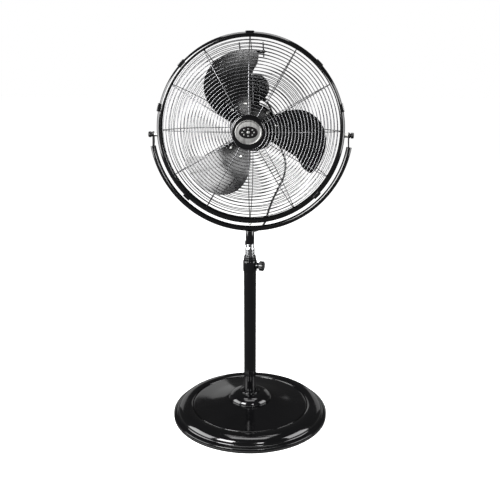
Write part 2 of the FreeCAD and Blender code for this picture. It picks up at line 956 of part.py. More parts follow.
def sub_parts():
    stand = [base_dish, base_ballast, base_edge_trim, pole_flange, flange_bolts, bell_cover,
             outer_pole, collar_bush, pole_collar, height_knob_grip,
             height_knob_screw, inner_pole]
    yoke = [yoke_tube, yoke_straps, yoke_sleeve, sleeve_screw, pivot_fasteners]
    cage = [rim_band, front_centre_plate, badge_plate, badge_emblem, guard_clips,
            rim_clamp_bolt, carry_handle]
    motor = [motor_bolts, motor_bushes, stator_core, stator_windings, rotor_core, motor_shaft,
             guard_mount_plate, blade_spider, blade_rivets, hub_nut]
    control = [control_box, control_box_lid, case_screws, rotary_switch, speed_knob,
               run_capacitor, strain_relief]
    lead = [cage_cord, cord_clip, cord_coil, coil_tie, plug_body, plug_pins]
    made = {maker.__name__: maker() for maker in stand + yoke + cage + motor + control + lead}
    made["tilt_knob_left"] = tilt_knob(-1)
    made["tilt_knob_right"] = tilt_knob(1)
    made["front_guard_rings"] = guard_rings(-1, front_depth, front_first_ring)
    made["front_guard_spokes"] = guard_spokes(-1, front_depth, plate_radius - 8)
    made["rear_guard_rings"] = guard_rings(1, rear_depth, rear_first_ring)
    made["rear_guard_spokes"] = guard_spokes(1, rear_depth, plate_edge + 0.3)
    middle = (motor_front + motor_rear) / 2
    made["motor_front_bell"] = motor_shell(motor_front, middle, motor_front)
    made["motor_rear_bell"] = motor_shell(middle, motor_rear, motor_rear)
    for number in range(blade_count):
        made["fan_blade_" + str(number + 1)] = fan_blade(number)
    made["neck_cord"] = cord_tube("neck_cord", neck_route())
    made["tail_cord"] = cord_tube("tail_cord", tail_route())
    return made


os.makedirs("parts", exist_ok=True)
for node, shape in sub_parts().items():
    if not shape.isValid() or shape.Volume <= 0:
        print("check", node, shape.isValid(), shape.Volume)
    shape.exportStep("parts/" + node + ".step")
    print(node, len(shape.Solids), round(shape.Volume))
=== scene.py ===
import bmesh
import bpy
import json
import math
import numpy as np
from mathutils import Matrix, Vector


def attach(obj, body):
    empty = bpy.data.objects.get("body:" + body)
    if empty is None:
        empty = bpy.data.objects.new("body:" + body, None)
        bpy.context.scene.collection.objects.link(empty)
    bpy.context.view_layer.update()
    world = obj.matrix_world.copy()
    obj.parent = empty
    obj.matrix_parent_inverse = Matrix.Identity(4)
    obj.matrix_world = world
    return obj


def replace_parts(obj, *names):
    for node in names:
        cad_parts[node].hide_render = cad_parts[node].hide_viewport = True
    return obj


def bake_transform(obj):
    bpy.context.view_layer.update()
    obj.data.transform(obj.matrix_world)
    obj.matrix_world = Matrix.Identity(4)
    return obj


# pedestal fan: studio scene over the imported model, metres
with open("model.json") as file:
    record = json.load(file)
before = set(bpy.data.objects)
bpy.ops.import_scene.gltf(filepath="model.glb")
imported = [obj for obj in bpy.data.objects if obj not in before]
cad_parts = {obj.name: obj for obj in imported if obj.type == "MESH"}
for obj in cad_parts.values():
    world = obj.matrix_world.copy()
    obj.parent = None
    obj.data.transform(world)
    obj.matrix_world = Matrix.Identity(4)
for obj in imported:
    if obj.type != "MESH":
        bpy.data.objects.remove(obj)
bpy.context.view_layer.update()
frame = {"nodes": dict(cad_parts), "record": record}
nodes = frame["nodes"]

head = {"z": 0.900, "pivotZ": 0.888}
headCentre = (0, 0, head["z"])
backwards = (0, 1, 0)


def turnAngles(count):
    return np.linspace(0, 2 * math.pi, count, endpoint=False)


def quarterAngles(count):
    return np.linspace(0, math.pi / 2, count)


def unit(vectors):
    return vectors / np.linalg.norm(vectors, axis=-1, keepdims=True)


def smoothStep(t):
    t = np.clip(t, 0, 1)
    return t * t * (3 - 2 * t)


def squared(angle, powerX, powerY):
    # cosine and sine raised to powers below 1, which squares a circle up
    x, y = np.cos(angle), np.sin(angle)
    return np.sign(x) * np.abs(x) ** powerX, np.sign(y) * np.abs(y) ** powerY


def gridFaces(rows, columns, closeRows, closeColumns, start=0):
    # quads between neighbouring rows and columns of a point grid
    r = np.arange(rows if closeRows else rows - 1)
    c = np.arange(columns if closeColumns else columns - 1)
    r, c = np.meshgrid(r, c, indexing="ij")
    rNext, cNext = (r + 1) % rows, (c + 1) % columns
    quads = [r * columns + c, r * columns + cNext, rNext * columns + cNext, rNext * columns + c]
    return np.stack(quads, -1).reshape(-1, 4) + start


def linkObject(name, data):
    thing = bpy.data.objects.new(name, data)
    bpy.context.scene.collection.objects.link(thing)
    return thing


def tidyMesh(mesh):
    # welds coincident points, such as poles, and turns the faces outwards
    work = bmesh.new()
    work.from_mesh(mesh)
    bmesh.ops.remove_doubles(work, verts=work.verts, dist=1e-6)
    bmesh.ops.recalc_face_normals(work, faces=work.faces)
    work.to_mesh(mesh)
    work.free()


def makePiece(name, points, faces, body, slot, sharp=35, caps=()):
    # smooth mesh in its finish, creased where faces meet at more than `sharp` degrees
    points = np.asarray(points, float).reshape(-1, 3)
    mesh = bpy.data.meshes.new(name)
    mesh.from_pydata(points.tolist(), [], np.asarray(faces).tolist() + list(caps))
    piece = linkObject(name, mesh)
    tidyMesh(mesh)
    mesh.shade_smooth()
    mesh.set_sharp_from_angle(angle=math.radians(sharp))
    mesh.materials.append(finish[slot])
    if body:
        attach(piece, body)
    return piece


def roundCorners(corners, radius, steps=5, closed=True):
    # every corner becomes a quadratic arc that starts and ends `radius` from it,
    # or at 0.45 of a shorter side, so that neighbouring arcs never meet
    corners = np.asarray(corners, float)
    into, out = np.roll(corners, 1, 0) - corners, np.roll(corners, -1, 0) - corners
    lengthIn = np.maximum(np.linalg.norm(into, axis=1, keepdims=True), 1e-9)
    lengthOut = np.maximum(np.linalg.norm(out, axis=1, keepdims=True), 1e-9)
    first = corners + into / lengthIn * np.minimum(radius, lengthIn * 0.45)
    last = corners + out / lengthOut * np.minimum(radius, lengthOut * 0.45)
    t = np.linspace(0, 1, steps)[None, :, None]
    arcs = (1 - t) ** 2 * first[:, None] + 2 * t * (1 - t) * corners[:, None] + t ** 2 * last[:, None]
    if closed:
        return arcs.reshape(-1, 2)
    return np.concatenate([corners[:1], arcs[1:-1].reshape(-1, 2), corners[-1:]])


def axisFrame(axis):
    # unit vectors along, beside and across an axis
    axis = Vector(axis).normalized()
    side = axis.orthogonal().normalized()
    return np.array(axis), np.array(side), np.array(axis.cross(side))


def lathe(name, profile, body, slot, centre=(0, 0, 0), axis=(0, 0, 1), steps=128, closed=True,
          sharp=35, ripple=None):
    # profile of (radius, along) turned about the axis: centre + along*axis + radius*(cos, sin)
    profile = np.asarray(profile, float)
    along, side, across = axisFrame(axis)
    angle = turnAngles(steps)
    reach = profile[:, 0][:, None] * np.ones(steps)
    if ripple is not None:
        reach = reach * ripple(angle, profile)
    ring = np.cos(angle)[:, None] * side + np.sin(angle)[:, None] * across
    points = np.array(centre) + reach[..., None] * ring[None] + profile[:, 1][:, None, None] * along
    return makePiece(name, points, gridFaces(len(profile), steps, closed, True), body, slot, sharp)


def turnedPiece(name, node, shape, body, slot, centre=(0, 0, 0), axis=(0, 0, 1), ripple=None):
    # lathe over a shape's corners, rounded by its bevel; an open profile ends on the axis
    closed = shape.get("closed", True)
    profile = roundCorners(shape["corners"], shape["bevel"], shape.get("arc", 5), closed)
    piece = lathe(name, profile, body, slot, centre, axis, shape["steps"], closed, shape.get("sharp", 35),
                  ripple)
    if node:
        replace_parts(piece, node)


def scallops(lobes, depth, start, end):
    # edge pulled in by the positive half of a cosine, between two places along the axis
    def wave(angle, profile):
        inside = ((profile[:, 1] > start) & (profile[:, 1] < end))[:, None]
        cut = depth * np.clip(np.cos(lobes * angle), 0, 1) ** 1.5
        return np.where(inside, 1 - cut[None, :], 1.0)
    return wave


def pathFrames(path, closed=False):
    # tangents, and a normal carried along the path with no twist
    path = np.asarray(path, float)
    tangent = unit((np.roll(path, -1, 0) - np.roll(path, 1, 0)) if closed else np.gradient(path, axis=0))
    normal = np.empty_like(path)
    normal[0] = np.array(Vector(tangent[0]).orthogonal().normalized())
    for k in range(1, len(path)):
        normal[k] = unit(normal[k - 1] - tangent[k] * (normal[k - 1] @ tangent[k]))
    return normal, np.cross(tangent, normal)


def tube(name, path, radius, body, slot, sides=16, sharp=40):
    # circle of that radius carried along the path; radius may vary along it
    path = np.asarray(path, float)
    normal, across = pathFrames(path)
    angle = turnAngles(sides)
    radius = np.broadcast_to(np.asarray(radius, float), len(path))
    ring = np.cos(angle)[None, :, None] * normal[:, None] + np.sin(angle)[None, :, None] * across[:, None]
    return loft(name, path[:, None] + radius[:, None, None] * ring, body, slot, sharp)


def loft(name, loops, body, slot, sharp=35):
    # closed loops of points joined in order, with a flat cap on each end
    loops = np.asarray(loops, float)
    rows, columns = loops.shape[:2]
    last = (rows - 1) * columns
    caps = (list(range(columns))[::-1], list(range(last, last + columns)))
    return makePiece(name, loops, gridFaces(rows, columns, False, True), body, slot, sharp, caps)


def polar(radius, degrees, y=0.0):
    # point of the head by radius and angle as seen from the front
    angle = np.radians(degrees)
    return np.stack(np.broadcast_arrays(radius * np.cos(angle), y, head["z"] + radius * np.sin(angle)), -1)


def newMaterial(name, colour, roughness, metallic=0.0, **sockets):
    material = bpy.data.materials.new(name)
    material.use_nodes = True
    shader = material.node_tree.nodes["Principled BSDF"]
    shader.inputs["Base Color"].default_value = (*colour, 1)
    shader.inputs["Roughness"].default_value = roughness
    shader.inputs["Metallic"].default_value = metallic
    for key, value in sockets.items():
        shader.inputs[key.replace("_", " ")].default_value = value
    return material


def noiseNode(material, scale, detail=3.0, stretch=(1, 1, 1)):
    # noise fixed to the piece itself, drawn out where the stretch is small
    tree = material.node_tree
    coordinates = tree.nodes.new("ShaderNodeTexCoord")
    mapping = tree.nodes.new("ShaderNodeMapping")
    mapping.inputs["Scale"].default_value = stretch
    noise = tree.nodes.new("ShaderNodeTexNoise")
    noise.inputs["Scale"].default_value = scale
    noise.inputs["Detail"].default_value = detail
    tree.links.new(coordinates.outputs["Object"], mapping.inputs["Vector"])
    tree.links.new(mapping.outputs["Vector"], noise.inputs["Vector"])
    return noise


def vary(material, socket, noise, low, high):
    # noise from 0.3 to 0.7 is spread over low to high on one shader socket
    tree = material.node_tree
    shader = tree.nodes["Principled BSDF"]
    if socket == "Base Color":
        ramp = tree.nodes.new("ShaderNodeValToRGB")
        for element, position, colour in zip(ramp.color_ramp.elements, (0.3, 0.7), (low, high)):
            element.position = position
            element.color = (*colour, 1)
        tree.links.new(noise.outputs["Fac"], ramp.inputs["Fac"])
        tree.links.new(ramp.outputs["Color"], shader.inputs[socket])
        return
    spread = tree.nodes.new("ShaderNodeMapRange")
    for key, value in (("From Min", 0.3), ("From Max", 0.7), ("To Min", low), ("To Max", high)):
        spread.inputs[key].default_value = value
    tree.links.new(noise.outputs["Fac"], spread.inputs["Value"])
    tree.links.new(spread.outputs["Result"], shader.inputs[socket])


def roughen(material, noise, strength, distance):
    # shallow bump of the noise on the surface
    tree = material.node_tree
    bump = tree.nodes.new("ShaderNodeBump")
    bump.inputs["Strength"].default_value = strength
    bump.inputs["Distance"].default_value = distance
    tree.links.new(noise.outputs["Fac"], bump.inputs["Height"])
    tree.links.new(bump.outputs["Normal"], tree.nodes["Principled BSDF"].inputs["Normal"])


def paint(name, colour, roughness, shine):
    # sprayed enamel: faint cloudiness in colour and gloss, and a fine orange peel
    material = newMaterial(name, colour, roughness, Specular_IOR_Level=shine)
    vary(material, "Base Color", noiseNode(material, 7), colour, tuple(value * 1.6 for value in colour))
    vary(material, "Roughness", noiseNode(material, 30), roughness * 0.75, roughness * 1.3)
    roughen(material, noiseNode(material, 420, 1), 0.02, 0.00004)
    return material


def metal(name, colour, roughness, stretch=(1, 1, 1), scale=60):
    # bare or plated metal with fine drawing lines along the axis of small stretch
    material = newMaterial(name, colour, roughness, 1.0)
    lines = noiseNode(material, scale, 4, stretch)
    vary(material, "Base Color", lines, tuple(value * 0.86 for value in colour), colour)
    vary(material, "Roughness", lines, roughness * 0.7, roughness * 1.35)
    roughen(material, noiseNode(material, scale * 6, 2, stretch), 0.04, 0.0001)
    return material


def moulded(name, colour, roughness, grain=900):
    # moulded plastic or rubber with a fine spark-eroded grain
    material = newMaterial(name, colour, roughness, Specular_IOR_Level=0.35)
    vary(material, "Base Color", noiseNode(material, 25), colour, tuple(value * 1.5 for value in colour))
    vary(material, "Roughness", noiseNode(material, 90), roughness * 0.85, roughness * 1.15)
    roughen(material, noiseNode(material, grain, 2), 0.1, 0.0001)
    return material


finish = {
    "black_paint": paint("glossBlackEnamel", (0.0016, 0.0016, 0.0018), 0.1, 0.5),
    "blade_paint": paint("bladeBlackEnamel", (0.0016, 0.0016, 0.0018), 0.2, 0.45),
    "motor_paint": paint("motorBlackEnamel", (0.003, 0.003, 0.0033), 0.3, 0.4),
    "wire_chrome": metal("blackChromeWire", (0.16, 0.16, 0.165), 0.22),
    "chrome_tube": metal("chromeTube", (0.40, 0.405, 0.41), 0.2, (1, 1, 0.05), 90),
    "zinc_steel": metal("zincPlatedSteel", (0.62, 0.62, 0.60), 0.3),
    "silver_badge": metal("satinSilver", (0.205, 0.204, 0.199), 0.45, (1, 1, 0.1), 200),
    "badge_black": paint("badgeBlackEnamel", (0.003, 0.003, 0.003), 0.15, 0.4),
    "black_plastic": moulded("blackPlastic", (0.003, 0.003, 0.0033), 0.2),
    "switch_plastic": moulded("greySwitchPlastic", (0.25, 0.25, 0.27), 0.5),
    "black_rubber": moulded("blackRubber", (0.008, 0.008, 0.008), 0.6, 600),
    "cord_rubber": moulded("leadSheath", (0.006, 0.006, 0.0065), 0.45, 700),
    "ballast": moulded("castBallast", (0.16, 0.155, 0.15), 0.9, 300),
    "core_steel": metal("laminatedCore", (0.3, 0.3, 0.31), 0.45, (1, 30, 1), 40),
    "copper": metal("enamelledCopper", (0.55, 0.22, 0.09), 0.3, (1, 1, 1), 200),
    "bronze": metal("sinteredBronze", (0.5, 0.36, 0.18), 0.5),
    "brass_pins": metal("brassPins", (0.72, 0.56, 0.3), 0.22),
}
for entry in frame["record"]["subparts"]:
    materials = nodes[entry["node"]].data.materials
    materials.clear()
    materials.append(finish[entry["material_slot"]])
print("materials done")


view = {"distance": 1.90, "height": 1.0535, "azimuth": 4.5, "pitch": 15.03, "focal": 649.0,
        "sensor": 36, "image": 500}
turn = math.radians(view["azimuth"])
cameraData = bpy.data.cameras.new("camera")
cameraData.sensor_width = view["sensor"]
cameraData.lens = view["focal"] / view["image"] * view["sensor"]
camera = linkObject("camera", cameraData)
camera.location = (view["distance"] * math.sin(turn), -view["distance"] * math.cos(turn), view["height"])
camera.rotation_euler = (math.radians(90 - view["pitch"]), 0, turn)
bpy.context.scene.camera = camera


relief = {"place": (0.006, 0.139, 1.017), "angle": -50, "start": 0.036, "exit": 0.051, "length": 0.0245,
          "radius": 0.0056, "taper": 0.0019, "rib": 0.0004, "ribs": 5.5}
reliefAngle = math.radians(relief["angle"])
reliefWay = np.array([math.cos(reliefAngle), 0, math.sin(reliefAngle)])
reliefExit = np.array(relief["place"]) + reliefWay * relief["exit"]

lead = {"radius": 0.0032, "straight": 0.022, "neckStart": (0.046, 0.035, 0.628),
        "neckEnd": (0.015, 0.035, 0.598)}
cageRoute = [reliefExit, reliefExit + reliefWay * lead["straight"],
             (0.060, 0.141, 0.926), (0.070, 0.138, 0.880), (0.084, 0.133, 0.838), (0.102, 0.126, 0.800),
             (0.100, 0.110, 0.758), (0.082, 0.092, 0.720), (0.064, 0.072, 0.686), (0.050, 0.044, 0.648),
             lead["neckStart"]]
neckRoute = [lead["neckStart"], (0.036, 0.030, 0.609), (0.019, 0.033, 0.596), (0.002, 0.044, 0.592)]
tailRoute = [(-0.005, 0.099, 0.522), (-0.005, 0.094, 0.502)]

coil = {"x": -0.005, "y": 0.064, "z": 0.5585, "inner": 0.0318, "outer": 0.0387, "layer": 0.0067,
        "from": 0.02, "to": 6.27, "perTurn": 14, "stepFrom": 0.72, "startAngle": 96}


def coilTurns():
    # three inner turns side by side, then three outer ones back over them;
    # each turn is flat and steps sideways in its last quarter
    turns = np.arange(coil["from"], coil["to"], 1 / coil["perTurn"])
    whole = np.floor(turns)
    ramp = smoothStep((turns - whole - coil["stepFrom"]) / (1 - coil["stepFrom"]))
    layer = np.where(turns < 3, whole + ramp * (whole < 2), 5 - whole - ramp * (whole < 5))
    layer = np.clip(layer, 0, 2)
    outer = np.where(turns < 3, ramp * (whole == 2), 1.0)
    radius = coil["inner"] + (coil["outer"] - coil["inner"]) * outer
    angle = np.radians(coil["startAngle"]) - 2 * math.pi * turns
    x = coil["x"] + (layer - 1) * coil["layer"]
    return np.stack([x, coil["y"] + radius * np.cos(angle), coil["z"] + radius * np.sin(angle)], -1)


def nurbsCurve(name, points):
    # quadratic curve that starts and ends on its first and last route points
    curve = bpy.data.curves.new(name, "CURVE")
    curve.dimensions = "3D"
    spline = curve.splines.new("NURBS")
    points = np.asarray(points, float)
    spline.points.add(len(points) - 1)
    spline.points.foreach_set("co", np.c_[points, np.ones(len(points))].ravel())
    spline.order_u = 3
    spline.use_endpoint_u = True
    curve.resolution_u = 8
    return linkObject(name, curve)


def curvePoints(piece):
    bpy.context.view_layer.update()
    mesh = bpy.data.meshes.new_from_object(piece)
    points = np.zeros(len(mesh.vertices) * 3)
    mesh.vertices.foreach_get("co", points)
    bpy.data.meshes.remove(mesh)
    return points.reshape(-1, 3)


def pathLength(points):
    return float(np.linalg.norm(np.diff(points, axis=0), axis=1).sum())


cageLead = nurbsCurve("cageLead", cageRoute)
cageLength = pathLength(curvePoints(cageLead))
cageLead.data.bevel_depth = lead["radius"]
cageLead.data.bevel_resolution = 5
cageLead.data.use_fill_caps = True
cageLead.data.materials.append(finish["cord_rubber"])
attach(cageLead, "head")
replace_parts(cageLead, "cage_cord")

guide = nurbsCurve("coilGuide", np.concatenate([neckRoute, coilTurns(), tailRoute]))
coilPath = curvePoints(guide)
bpy.data.objects.remove(guide)

plug = {"x": -0.005, "y": 0.0945, "top": 0.4965, "low": 0.4585, "halfX": 0.012, "halfY": 0.024,
        "corner": 0.4, "narrowing": 0.22, "grooves": 3, "grooveDepth": 0.05, "grooveFrom": 0.15,
        "grooveShare": 0.6, "coneTop": 0.0044, "coneSpread": 0.0026, "coneHeight": 0.006,
        "coneRing": 0.0003, "rows": 60, "coneRows": 15, "sides": 96}


def plugShell():
    # rounded rectangle carried down the plug and narrowed at its ends; three finger grooves
    # pull it in, and a ringed cone runs up to the lead
    angle = turnAngles(plug["sides"])
    x, y = squared(angle, plug["corner"], plug["corner"])
    u = np.linspace(0, 1, plug["rows"])
    ends = 1 - plug["narrowing"] + plug["narrowing"] * (1 - np.abs(2 * u - 1) ** 8) ** 0.5
    grip = np.clip((u - plug["grooveFrom"]) / plug["grooveShare"], 0, 1)
    grooves = 1 - plug["grooveDepth"] * np.sin(math.pi * plug["grooves"] * grip) ** 4
    z = np.broadcast_to((plug["top"] + (plug["low"] - plug["top"]) * u)[:, None], (len(u), len(angle)))
    body = np.stack([plug["x"] + plug["halfX"] * (ends * grooves)[:, None] * x,
                     plug["y"] + plug["halfY"] * ends[:, None] * y, z], -1)
    v = np.linspace(0, 1, plug["coneRows"], endpoint=False)
    reach = plug["coneTop"] + plug["coneSpread"] * v + plug["coneRing"] * np.sin(v * 8 * math.pi)
    z = np.broadcast_to((plug["top"] + plug["coneHeight"] * (1 - v))[:, None], (len(v), len(angle)))
    cone = np.stack([plug["x"] + reach[:, None] * np.cos(angle),
                     plug["y"] + reach[:, None] * np.sin(angle), z], -1)
    return loft("plugShell", np.concatenate([cone, body]), None, "black_rubber", 40)


plugPiece = plugShell()
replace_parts(plugPiece, "plug_body")
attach(plugPiece, "yoke")
coilLead = tube("coilLead", coilPath, lead["radius"], None, "cord_rubber", 12)
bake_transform(coilLead)
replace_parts(coilLead, "neck_cord", "cord_coil", "tail_cord")
print("lead", round(cageLength, 3), round(pathLength(coilPath), 3))


dish = {"edge": 0.245, "foot": 0.008, "sheet": 0.0014, "tuck": 0.0006, "steps": 192,
        "flange": [(0.245, 0.008), (0.245, 0.0135), (0.238, 0.0152), (0.2335, 0.0155), (0.231, 0.018)],
        "bulgeOuter": 0.231, "bulgeInner": 0.184, "bulgeLow": 0.018, "bulgeHigh": 0.032, "bulgeRise": 0.013,
        "step": [(0.1845, 0.0312), (0.1822, 0.0318), (0.1812, 0.0342), (0.1780, 0.0348)],
        "cone": [(0.174, 0.0352), (0.130, 0.0405), (0.070, 0.052), (0.024, 0.052)]}


def dishTop():
    # from the edge inwards: flange, bulge as half a sine wave on a slope, step and shallow cone
    t = np.linspace(0, 1, 40)[1:-2]
    half = (dish["bulgeOuter"] - dish["bulgeInner"]) / 2
    radius = dish["bulgeInner"] + half + half * np.cos(math.pi * t)
    slope = dish["bulgeLow"] + (dish["bulgeHigh"] - dish["bulgeLow"]) * t
    bulge = np.stack([radius, slope + dish["bulgeRise"] * np.sin(math.pi * t)], -1)
    flange = roundCorners(dish["flange"], 0.002, 5, False)
    step = roundCorners(dish["step"], 0.0011, 5, False)
    cone = roundCorners(dish["cone"], 0.012, 8, False)
    return np.concatenate([flange, bulge, step, cone])


def dishPiece():
    # the underside is the top moved down by the sheet and slightly inwards
    top = dishTop()
    under = top[::-1] - np.array([dish["tuck"], dish["sheet"]])
    under[-1] = (dish["edge"] - dish["sheet"], dish["foot"])
    profile = np.concatenate([top, under])
    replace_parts(lathe("baseDish", profile, "base", "black_paint", steps=dish["steps"], sharp=50), "base_dish")


dishPiece()

trim = {"corners": [(0.229, 0.0), (0.2445, 0.0), (0.245, 0.0078), (0.229, 0.0078)], "bevel": 0.0015,
        "steps": 160}
turnedPiece("baseTrim", "base_edge_trim", trim, "base", "black_rubber")

bell = {"neck": 0.030, "flare": 0.036, "shoulder": 0.0545, "height": 0.0215, "sheet": 0.002,
        "foot": [(0.0652, 0.0521), (0.0672, 0.0521), (0.0672, 0.0542), (0.066, 0.0548)],
        "lip": [(0.030, 0.076), (0.0302, 0.0795), (0.0215, 0.0805), (0.0194, 0.0795), (0.0194, 0.070),
                (0.022, 0.072), (0.028, 0.074)]}


def bellPiece():
    # quarter-ellipse cover with a rolled foot and a raised neck lip
    t = quarterAngles(24)
    outer = np.stack([bell["neck"] + bell["flare"] * np.cos(t),
                      bell["shoulder"] + bell["height"] * np.sin(t)], -1)
    foot = roundCorners(bell["foot"], 0.0008, 4, False)
    lip = roundCorners(bell["lip"], 0.0012, 5, False)
    profile = np.concatenate([foot, outer, lip, outer[::-1] - bell["sheet"]])
    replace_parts(lathe("bellCover", profile, "base", "black_paint", sharp=50), "bell_cover")


bellPiece()
print("stand done")


guard = {"edge": 0.009, "radius": 0.262, "frontDepth": 0.046, "rearDepth": 0.112, "wire": 0.0011,
         "spoke": 0.0013, "edgeWire": 0.0025, "edgeOut": 0.0045, "pitch": 0.0092, "gap": 0.00005,
         "frontFirst": 0.049, "rearFirst": 0.077, "frontSpoke": 0.040, "rearSpoke": 0.0723,
         "spokeInset": 0.002, "spokes": 12, "spokeRows": 28, "steps": 144, "sides": 8}


def guardSection(radius, depth, offset=0.0):
    # depth falls with the fourth power of the radius; offset is inwards, square to the section
    height = guard["edge"] + depth * (1 - (radius / guard["radius"]) ** 4)
    slope = -4 * depth * radius ** 3 / guard["radius"] ** 4
    size = np.hypot(1, slope)
    return radius + offset * slope / size, height - offset / size


def guardRings(name, side, depth, first, node):
    # round wires at an even pitch on the section, and a thicker one round the edge
    radii = np.arange(first, guard["radius"] - guard["wire"], guard["pitch"])
    across, height = guardSection(radii, depth)
    radii = np.append(across, guard["radius"] + guard["edgeOut"])
    height = np.append(height, guard["edge"])
    wire = np.append(np.full(len(across), guard["wire"]), guard["edgeWire"])
    steps, sides = guard["steps"], guard["sides"]
    v = turnAngles(sides)
    reach = radii[:, None, None] + wire[:, None, None] * np.cos(v)
    y = side * height[:, None, None] + wire[:, None, None] * np.sin(v)
    points = polar(reach, np.degrees(turnAngles(steps))[None, :, None], y)
    faces = [gridFaces(steps, sides, True, True, k * steps * sides) for k in range(len(radii))]
    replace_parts(makePiece(name, points, np.concatenate(faces), "head", "wire_chrome", 60), node)


def guardSpokes(name, side, depth, first, node):
    # round wires that follow the section just inside the rings
    rows, sides = guard["spokeRows"], guard["sides"]
    radius = first + (guard["radius"] - guard["spokeInset"] - first) * np.linspace(0, 1, rows)
    across, height = guardSection(radius, depth, guard["wire"] + guard["spoke"] + guard["gap"])
    v = turnAngles(sides)
    slopeR, slopeY = np.gradient(across), np.gradient(height)
    size = np.hypot(slopeR, slopeY)
    points, faces, caps = [], [], []
    count = rows * sides
    for k in range(guard["spokes"]):
        degrees = 360 * k / guard["spokes"]
        angle = math.radians(degrees)
        out = np.array([math.cos(angle), 0, math.sin(angle)])
        sideways = np.array([-math.sin(angle), 0, math.cos(angle)])
        normal = (-slopeY / size)[:, None] * out + (side * slopeR / size)[:, None] * np.array(backwards)
        ring = np.cos(v)[None, :, None] * normal[:, None] + np.sin(v)[None, :, None] * sideways
        points.append(polar(across, degrees, side * height)[:, None] + guard["spoke"] * ring)
        faces.append(gridFaces(rows, sides, False, True, k * count))
        caps.append(list(range(k * count, k * count + sides)))
        caps.append(list(range((k + 1) * count - sides, (k + 1) * count)))
    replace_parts(makePiece(name, points, np.concatenate(faces), "head", "wire_chrome", 60, caps), node)


guardRings("frontRings", -1, guard["frontDepth"], guard["frontFirst"], "front_guard_rings")
guardRings("rearRings", 1, guard["rearDepth"], guard["rearFirst"], "rear_guard_rings")
guardSpokes("frontSpokes", -1, guard["frontDepth"], guard["frontSpoke"], "front_guard_spokes")
guardSpokes("rearSpokes", 1, guard["rearDepth"], guard["rearSpoke"], "rear_guard_spokes")

rim = {"outer": 0.272, "lip": 0.259, "half": 0.014, "flat": 0.0045, "shoulder": 0.0115, "sheet": 0.0012,
       "steps": 256}


def rimPiece():
    # channel whose front and rear shoulders are quarter ellipses down to the lips
    t = quarterAngles(14)
    shoulder = np.stack([rim["outer"] - rim["shoulder"] + rim["shoulder"] * np.cos(t),
                         rim["flat"] + (rim["half"] - rim["flat"]) * np.sin(t)], -1)
    lip = [(rim["lip"], rim["half"]), (rim["lip"], rim["half"] - rim["sheet"])]
    half = np.concatenate([shoulder, lip, shoulder[::-1] - rim["sheet"]])
    profile = np.concatenate([(half * [1, -1])[::-1], half])
    piece = lathe("rimBand", profile, "head", "black_paint", headCentre, backwards, rim["steps"], sharp=50)
    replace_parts(piece, "rim_band")


rimPiece()

yoke = {"radius": 0.289, "tube": 0.008, "from": 189, "to": 351, "steps": 160}


def yokePiece():
    # tube on an arc of a circle below the head
    path = polar(yoke["radius"], np.linspace(yoke["from"], yoke["to"], yoke["steps"]))
    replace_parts(tube("yokeTube", path, yoke["tube"], "yoke", "black_paint", 32), "yoke_tube")


yokePiece()

blade = {"radius": 0.225, "root": 0.050, "leadY": 0.030, "pitch": 0.055, "sheet": 0.0014, "count": 3,
         "top": 90, "rows": 60, "columns": 40, "sweep": 6, "sweepFrom": 0.147, "sweepOver": 0.050,
         "tipFrom": 0.211, "tipOver": 0.014, "tail": 13, "spread": 52, "power": 2.44}


def bladePiece(number):
    # helical sheet: y falls evenly with the angle. The leading edge sweeps forward by a smooth
    # step and rounds off at the tip; the spread falls to the tip as the root of 1 - share**power
    base = blade["top"] - 360 / blade["count"] * number
    radius = blade["root"] + (blade["radius"] - blade["root"]) * np.sin(quarterAngles(blade["rows"]))
    tip = np.clip((radius - blade["tipFrom"]) / blade["tipOver"], 0, 1)
    forward = smoothStep((radius - blade["sweepFrom"]) / blade["sweepOver"])
    leading = blade["sweep"] * (1 - np.sqrt(1 - tip ** 2) - forward)
    share = (radius / blade["radius"]) ** blade["power"]
    trailing = blade["tail"] + blade["spread"] * np.sqrt(np.clip(1 - share, 0, None))
    degrees = leading[:, None] + (trailing - leading)[:, None] * np.linspace(0, 1, blade["columns"])
    y = blade["leadY"] - blade["pitch"] * np.radians(degrees)
    front = polar(radius[:, None], base + degrees, y)
    back = polar(radius[:, None], base + degrees, y + blade["sheet"])
    loops = np.concatenate([front, back[:, ::-1]], 1)
    piece = loft("fanBlade" + str(number + 1), loops, "rotor", "blade_paint", 40)
    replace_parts(piece, "fan_blade_" + str(number + 1))


for number in range(blade["count"]):
    bladePiece(number)
print("cage and blades done")


pole = {"corners": [(0.0175, 0.056), (0.019, 0.056), (0.019, 0.5118), (0.0175, 0.5118)], "bevel": 0.0005,
        "steps": 96}
turnedPiece("outerPole", "outer_pole", pole, "base", "black_paint")

clamp = {"z": 0.496, "turn": -14.0}
clampTurn = math.radians(clamp["turn"])
clampWay = (math.cos(clampTurn), math.sin(clampTurn), 0.0)
clampCentre = (0, 0, clamp["z"])
band = {"corners": [(0.0188, 0.4776), (0.0208, 0.4776), (0.0212, 0.484), (0.0212, 0.505), (0.0208, 0.5114),
                    (0.0188, 0.5114)], "bevel": 0.0012, "steps": 96}
turnedPiece("clampBand", None, band, "base", "black_paint")
boss = {"corners": [(0, 0.0195), (0.0108, 0.0195), (0.0097, 0.0215), (0.0095, 0.0262), (0.0085, 0.0270),
                    (0.0034, 0.0270), (0, 0.0262)], "bevel": 0.0009, "steps": 48, "closed": False}
turnedPiece("clampBoss", None, boss, "base", "black_paint", clampCentre, clampWay)

collar = {"corners": [(0.0143, 0.5122), (0.0184, 0.5122), (0.0184, 0.5145), (0.0194, 0.515), (0.0194, 0.5175),
                      (0.0178, 0.518), (0.0178, 0.521), (0.0186, 0.5215), (0.0186, 0.523), (0.0174, 0.524),
                      (0.0170, 0.527), (0.0158, 0.528), (0.0143, 0.528)], "bevel": 0.0006, "steps": 128}
turnedPiece("poleCollar", "pole_collar", collar, "base", "black_plastic")

